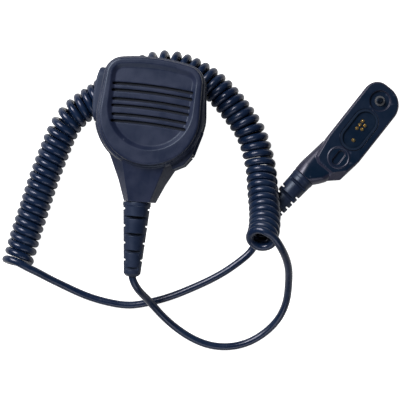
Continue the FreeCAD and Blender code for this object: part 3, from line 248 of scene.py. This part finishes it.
def board_mask(name):
    """Green solder resist over faint copper tracks."""
    shader = Shader(name)
    brick = shader.node("ShaderNodeTexBrick")
    shader.feed(brick.inputs["Vector"], shader.place)
    brick.inputs["Scale"].default_value = 260.0
    brick.inputs["Mortar Size"].default_value = 0.06
    tracks = brick.outputs["Fac"]
    shader.set(Base_Color=shader.mix(tracks, (0.006, 0.05, 0.02), (0.02, 0.11, 0.045)),
               Roughness=0.35, Normal=shader.bump(tracks, 0.03))
    return shader.material


def paper_pulp(name):
    shader = Shader(name)
    fibres = shader.noise(0.35, 6.0, 0.75, (1.0, 3.0, 1.0))
    shader.set(Base_Color=shader.ramp(fibres, (0.02, 0.02, 0.022), (0.06, 0.06, 0.065)), Roughness=0.85,
               Normal=shader.bump(fibres, 0.05))
    return shader.material


def make_materials():
    """One finish for each material slot of the record."""
    return {
        "head_plastic": polymer("head_plastic", (0.005, 0.008, 0.022), (0.010, 0.013, 0.030), 0.42,
                                depth_mm=0.022, edge_wear_and_highlight=0.45),
        "ptt_rubber": polymer("ptt_rubber", (0.007, 0.011, 0.027), (0.012, 0.016, 0.035), 0.55, 0.2, 0.016),
        "actuator_plastic": polymer("actuator_plastic", (0.10, 0.10, 0.11), (0.14, 0.14, 0.15), 0.45, edge_wear_and_highlight=0.0),
        "clip_plastic": polymer("clip_plastic", (0.006, 0.010, 0.022), (0.012, 0.015, 0.030), 0.4),
        "cord_jacket": polymer("cord_jacket", (0.002, 0.007, 0.023), (0.004, 0.011, 0.030), 0.27, 0.6, 0.02, 0.5,
                               0.32, edge_wear_and_highlight=0.0, tint=(0.86, 0.86, 1.0)),
        "relief_rubber": polymer("relief_rubber", (0.004, 0.008, 0.022), (0.008, 0.013, 0.030), 0.42, 0.22, 0.014),
        # connector: the paler colour on its slanting sides is a painted highlight
        "connector_plastic": polymer("connector_plastic", (0.001, 0.006, 0.016), (0.003, 0.008, 0.020), 0.4,
                                     gloss=0.12, tint=(0.88, 0.86, 1.0), sloped_highlight_and_gloss=((0.008, 0.009, 0.022), 0.42)),
        "seal_rubber": polymer("seal_rubber", (0.002, 0.006, 0.016), (0.004, 0.009, 0.021), 0.6, 0.16, 0.01,
                               gloss=0.14),
        "block_plastic": polymer("block_plastic", (0.001, 0.005, 0.014), (0.003, 0.008, 0.019), 0.4, gloss=0.12,
                                 edge_wear_and_highlight=0.0),
        "gold": metal("gold", (0.78, 0.52, 0.18), (0.95, 0.72, 0.33), 0.18, depth_mm=0.002),
        "steel": metal("steel", (0.42, 0.43, 0.45), (0.62, 0.62, 0.64), 0.28),
        "spring_steel": metal("spring_steel", (0.22, 0.23, 0.26), (0.38, 0.39, 0.42), 0.3),
        "dark_metal": metal("dark_metal", (0.003, 0.006, 0.014), (0.010, 0.015, 0.026), 0.55),
        "brass": metal("brass", (0.60, 0.42, 0.16), (0.78, 0.58, 0.26), 0.3),
        "board_green": board_mask("board_green"),
        "cloth": weave("cloth", (0.0005, 0.002, 0.007), (0.006, 0.012, 0.028), 0.35),
        "foam": polymer("foam", (0.02, 0.02, 0.02), (0.05, 0.05, 0.05), 0.9, 0.5, 0.1, edge_wear_and_highlight=0.0),
        "basket_steel": metal("basket_steel", (0.2, 0.2, 0.21), (0.33, 0.33, 0.34), 0.4),
        "cone_paper": paper_pulp("cone_paper"),
        "wire": polymer("wire", (0.30, 0.02, 0.02), (0.42, 0.04, 0.03), 0.4, edge_wear_and_highlight=0.0, tint=(1, 1, 1)),
        "plunger_plastic": polymer("plunger_plastic", (0.5, 0.5, 0.48), (0.62, 0.62, 0.6), 0.3, edge_wear_and_highlight=0.0,
                                   tint=(1, 1, 1)),
    }


MATERIALS = make_materials()
SLOT_OF = {part["node"]: part["material_slot"] for part in frame["record"]["subparts"]}


def finish_node(node):
    """Gives a carried-over CAD node its slot's material."""
    mesh = NODES[node].data
    mesh.materials.clear()
    mesh.materials.append(MATERIALS[SLOT_OF[node]])


# ---------------------------------------------------------------- pieces


def add_piece(name, mesh, node, rides=True):
    """A new piece that stands for one CAD node and wears its finish."""
    piece = bpy.data.objects.new(name, mesh)
    bpy.context.scene.collection.objects.link(piece)
    mesh.materials.clear()
    mesh.materials.append(MATERIALS[SLOT_OF[node]])
    for polygon in mesh.polygons:
        polygon.use_smooth = True
    if rides:
        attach(piece, NODES[node]["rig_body"])
    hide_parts(node)
    return piece


def apply_modifiers(piece):
    graph = bpy.context.evaluated_depsgraph_get()
    mesh = bpy.data.meshes.new_from_object(piece.evaluated_get(graph))
    piece.modifiers.clear()
    piece.data = mesh
    return mesh


def welded_copy(node):
    """The CAD node's mesh with the seams between its faces closed."""
    mesh = NODES[node].data.copy()
    work = bmesh.new()
    work.from_mesh(mesh)
    bmesh.ops.remove_doubles(work, verts=work.verts, dist=2e-6)
    work.to_mesh(mesh)
    work.free()
    return mesh


def moulded(node, voxel_mm, softness, keep=0.4):
    """The CAD shape as one continuous moulding whose edges are all slightly rounded."""
    piece = bpy.data.objects.new(node + "_moulding", welded_copy(node))
    bpy.context.scene.collection.objects.link(piece)
    remesh = piece.modifiers.new("remesh", "REMESH")
    remesh.mode = "VOXEL"
    remesh.voxel_size = voxel_mm * MM * 1.0
    remesh.adaptivity = 0.0
    smooth = piece.modifiers.new("smooth", "SMOOTH")
    smooth.factor = 0.5
    smooth.iterations = softness
    if keep < 1.0:
        decimate = piece.modifiers.new("decimate", "DECIMATE")
        decimate.ratio = keep
    mesh = apply_modifiers(piece)
    bpy.data.objects.remove(piece)
    return add_piece(node + "_moulding", mesh, node)


def cord():
    """The coiled cable as a smooth tube."""
    mesh = welded_copy("coiled_cord")
    return add_piece("cord_jacket_tube", mesh, "coiled_cord")


def torsion_spring():
    """The clip's spring as one piece that stays in place, attached to no body."""
    spring = add_piece("clip_torsion_spring", welded_copy("clip_spring"), "clip_spring", rides=False)
    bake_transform(spring)


def islands(mesh):
    """The lowest and highest corner of each separate solid in a mesh."""
    work = bmesh.new()
    work.from_mesh(mesh)
    unseen = set(work.verts)
    boxes = []
    while unseen:
        edge_of = [unseen.pop()]
        solid = list(edge_of)
        while edge_of:
            for edge in edge_of.pop().link_edges:
                for vertex in edge.verts:
                    if vertex in unseen:
                        unseen.remove(vertex)
                        edge_of.append(vertex)
                        solid.append(vertex)
        low = Vector([min(vertex.co[axis] for vertex in solid) for axis in range(3)])
        high = Vector([max(vertex.co[axis] for vertex in solid) for axis in range(3)])
        boxes.append((low, high))
    work.free()
    return boxes


def cross_recessed(node, head_up, span_mm, depth_mm):
    """Screws of one node with a tapered cross recess sunk in each head."""
    mesh = welded_copy(node)
    cutter = bmesh.new()
    for number, (low, high) in enumerate(islands(mesh)):
        face = high.z if head_up else low.z
        inward = -1.0 if head_up else 1.0
        centre = Vector(((low.x + high.x) / 2, (low.y + high.y) / 2, face))
        for quarter in (0.0, 0.5):
            turn = Matrix.Rotation(math.pi * quarter + 0.7 * number, 3, "Z")
            corners = []
            for level, share in ((-0.3 * inward, 1.0), (depth_mm * inward, 0.45)):
                for across, along in ((-1, -1), (1, -1), (1, 1), (-1, 1)):
                    offset = Vector((across * span_mm / 2 * share, along * 0.24 * share + 0.013 * quarter, level))
                    corners.append(cutter.verts.new(centre + turn @ offset * MM))
            cutter.faces.new(corners[3::-1])
            cutter.faces.new(corners[4:])
            for here in range(4):
                there = (here + 1) % 4
                cutter.faces.new((corners[here], corners[there], corners[there + 4], corners[here + 4]))
    bmesh.ops.recalc_face_normals(cutter, faces=cutter.faces)
    tool_mesh = bpy.data.meshes.new(node + "_recess_tool")
    cutter.to_mesh(tool_mesh)
    cutter.free()
    tool = bpy.data.objects.new(node + "_recess_tool", tool_mesh)
    piece = bpy.data.objects.new(node + "_blank", mesh)
    for obj in (tool, piece):
        bpy.context.scene.collection.objects.link(obj)
    boolean = piece.modifiers.new("recess", "BOOLEAN")
    boolean.operation = "DIFFERENCE"
    boolean.solver = "EXACT"
    boolean.use_self = True
    boolean.object = tool
    result = apply_modifiers(piece)
    bpy.data.objects.remove(piece)
    bpy.data.objects.remove(tool)
    made = add_piece(node + "_cross", result, node)
    shade_by_angle(result, 35)
    return made


def shade_by_angle(mesh, degrees):
    """Keeps edges sharper than an angle crisp and shades the rest smooth."""
    work = bmesh.new()
    work.from_mesh(mesh)
    limit = math.radians(degrees)
    for edge in work.edges:
        edge.smooth = len(edge.link_faces) == 2 and edge.calc_face_angle(0.0) < limit
    work.to_mesh(mesh)
    work.free()


def knurled_thumbscrew():
    """The connector's screw: a straight-knurled head, a plain shank and a threaded tip."""
    low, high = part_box("thumbscrew")
    axis = (low + high) / 2
    top = high.z / MM
    segments = 180
    profile = [
        (0.0, -16.0), (4.6, -16.0), (5.3, -15.8), (6.0, -15.2), (6.0, -12.5), (5.6, -11.9), (1.7, -11.9),
        (1.7, -3.2), (1.42, -3.0),
    ]
    turn_height = 0.25
    for ridge in range(9):
        level = -2.9 + ridge * turn_height
        profile += [(1.27, level), (1.5, level + turn_height / 2)]
    profile += [(1.2, -0.25), (1.0, 0.0), (0.0, 0.0)]
    work = bmesh.new()
    rings = []
    for radius, level in profile:
        ring = []
        for step in range(segments if radius else 1):
            turn = 2 * math.pi * step / segments
            ridged = radius - (0.22 if radius > 5.9 and step % 3 == 0 else 0.0)
            offset = Vector((ridged * math.cos(turn), ridged * math.sin(turn), 0)) * MM
            ring.append(work.verts.new(Vector((axis.x, axis.y, (top + level) * MM)) + offset))
        rings.append(ring)
    for below, above in zip(rings, rings[1:]):
        for step in range(segments):
            there = (step + 1) % segments
            corners = []
            for ring, order in ((below, (step, there)), (above, (there, step))):
                corners += [ring[0]] if len(ring) == 1 else [ring[order[0]], ring[order[1]]]
            work.faces.new(corners)
    bmesh.ops.recalc_face_normals(work, faces=work.faces)
    mesh = bpy.data.meshes.new("thumbscrew_knurled")
    work.to_mesh(mesh)
    work.free()
    add_piece("thumbscrew_knurled", mesh, "thumbscrew")
    shade_by_angle(mesh, 30)


MOULDINGS = {
    "front_cover": (0.28, 3, 0.4),
    "rear_cover": (0.28, 3, 0.4),
    "ptt_button": (0.3, 3, 0.5),
    "jack_cover": (0.16, 3, 0.5),
    "head_strain_relief": (0.22, 3, 0.5),
    "connector_strain_relief": (0.22, 3, 0.5),
    "connector_shell": (0.24, 3, 0.5),
    "connector_back_cover": (0.24, 3, 0.5),
    "clip_base": (0.25, 3, 0.5),
    "clip_lever": (0.25, 3, 0.5),
    "contact_gasket": (0.14, 3, 0.5),
}


def build_object():
    for node in NODES:
        finish_node(node)
    for node, (voxel_mm, softness, keep) in MOULDINGS.items():
        moulded(node, voxel_mm, softness, keep)
    cord()
    cross_recessed("cover_screws", False, 2.4, 1.0)
    cross_recessed("board_screws", True, 2.2, 0.7)
    cross_recessed("connector_screws", False, 2.0, 0.6)
    knurled_thumbscrew()
    torsion_spring()


# ---------------------------------------------------------------- studio


def look_at(obj, target, up=None):
    away = obj.location - target
    obj.rotation_mode = "QUATERNION"
    if up is None:
        obj.rotation_quaternion = away.to_track_quat("Z", "Y")
        return
    back = away.normalized()
    right = up.cross(back).normalized()
    turn = Matrix((right, back.cross(right), back)).transposed()
    obj.rotation_quaternion = turn.to_quaternion()


def soft_light(name, place, target, size, power, colour=(1, 1, 1)):
    light = bpy.data.lights.new(name, "AREA")
    light.shape = "RECTANGLE"
    light.size = size[0]
    light.size_y = size[1]
    light.energy = power
    light.color = colour
    obj = bpy.data.objects.new(name, light)
    obj.location = place
    bpy.context.scene.collection.objects.link(obj)
    look_at(obj, target)


def studio():
    low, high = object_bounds()
    middle = (low + high) / 2
    scene = bpy.context.scene
    scene.view_settings.view_transform = "Standard"

    mesh = bpy.data.meshes.new("floor")
    half = 3.0
    corners = [(-half, -half), (half, -half), (half, half), (-half, half)]
    mesh.from_pydata([(x, y, low.z - 0.0002) for x, y in corners], [], [(0, 1, 2, 3)])
    floor = bpy.data.objects.new("floor", mesh)
    scene.collection.objects.link(floor)
    shader = Shader("pale_floor")
    paper = shader.noise(3.0, 3.0)
    seen = shader.node("ShaderNodeLightPath").outputs["Is Camera Ray"]
    shader.set(Base_Color=shader.ramp(paper, (0.60, 0.60, 0.60), (0.63, 0.63, 0.63)), Roughness=0.9,
               Emission_Color=(1.0, 1.0, 1.0, 1.0), Emission_Strength=shader.spread(seen, 0.12, 0.95, 0.0, 1.0))
    mesh.materials.append(shader.material)
    floor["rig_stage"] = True

    world = bpy.data.worlds.new("studio")
    world.use_nodes = True
    sky = world.node_tree.nodes["Background"]
    sky.inputs["Color"].default_value = (0.93, 0.96, 1.0, 1.0)
    seen = world.node_tree.nodes.new("ShaderNodeLightPath").outputs["Is Camera Ray"]
    level = world.node_tree.nodes.new("ShaderNodeMapRange")
    world.node_tree.links.new(seen, level.inputs["Value"])
    level.inputs["To Min"].default_value = 0.12
    level.inputs["To Max"].default_value = 1.0
    world.node_tree.links.new(level.outputs["Result"], sky.inputs["Strength"])
    scene.world = world

    soft_light("key", middle + Vector((-0.45, 0.35, 0.6)), middle, (0.42, 0.42), 14.0, (1.0, 0.99, 0.98))
    soft_light("fill", middle + Vector((0.1, -0.6, 0.45)), middle, (0.6, 0.4), 2.5, (0.95, 0.97, 1.0))

    camera_data = bpy.data.cameras.new("camera")
    camera_data.sensor_width = 36.0
    camera_data.lens = 99.6
    camera = bpy.data.objects.new("camera", camera_data)
    camera.location = Vector((32.0, -43.1, 620.0)) * MM
    scene.collection.objects.link(camera)
    below = Vector((camera.location.x, camera.location.y, 0.0))
    look_at(camera, below, Vector((-0.1305, 0.9914, 0.0)))
    scene.camera = camera


build_object()
studio()
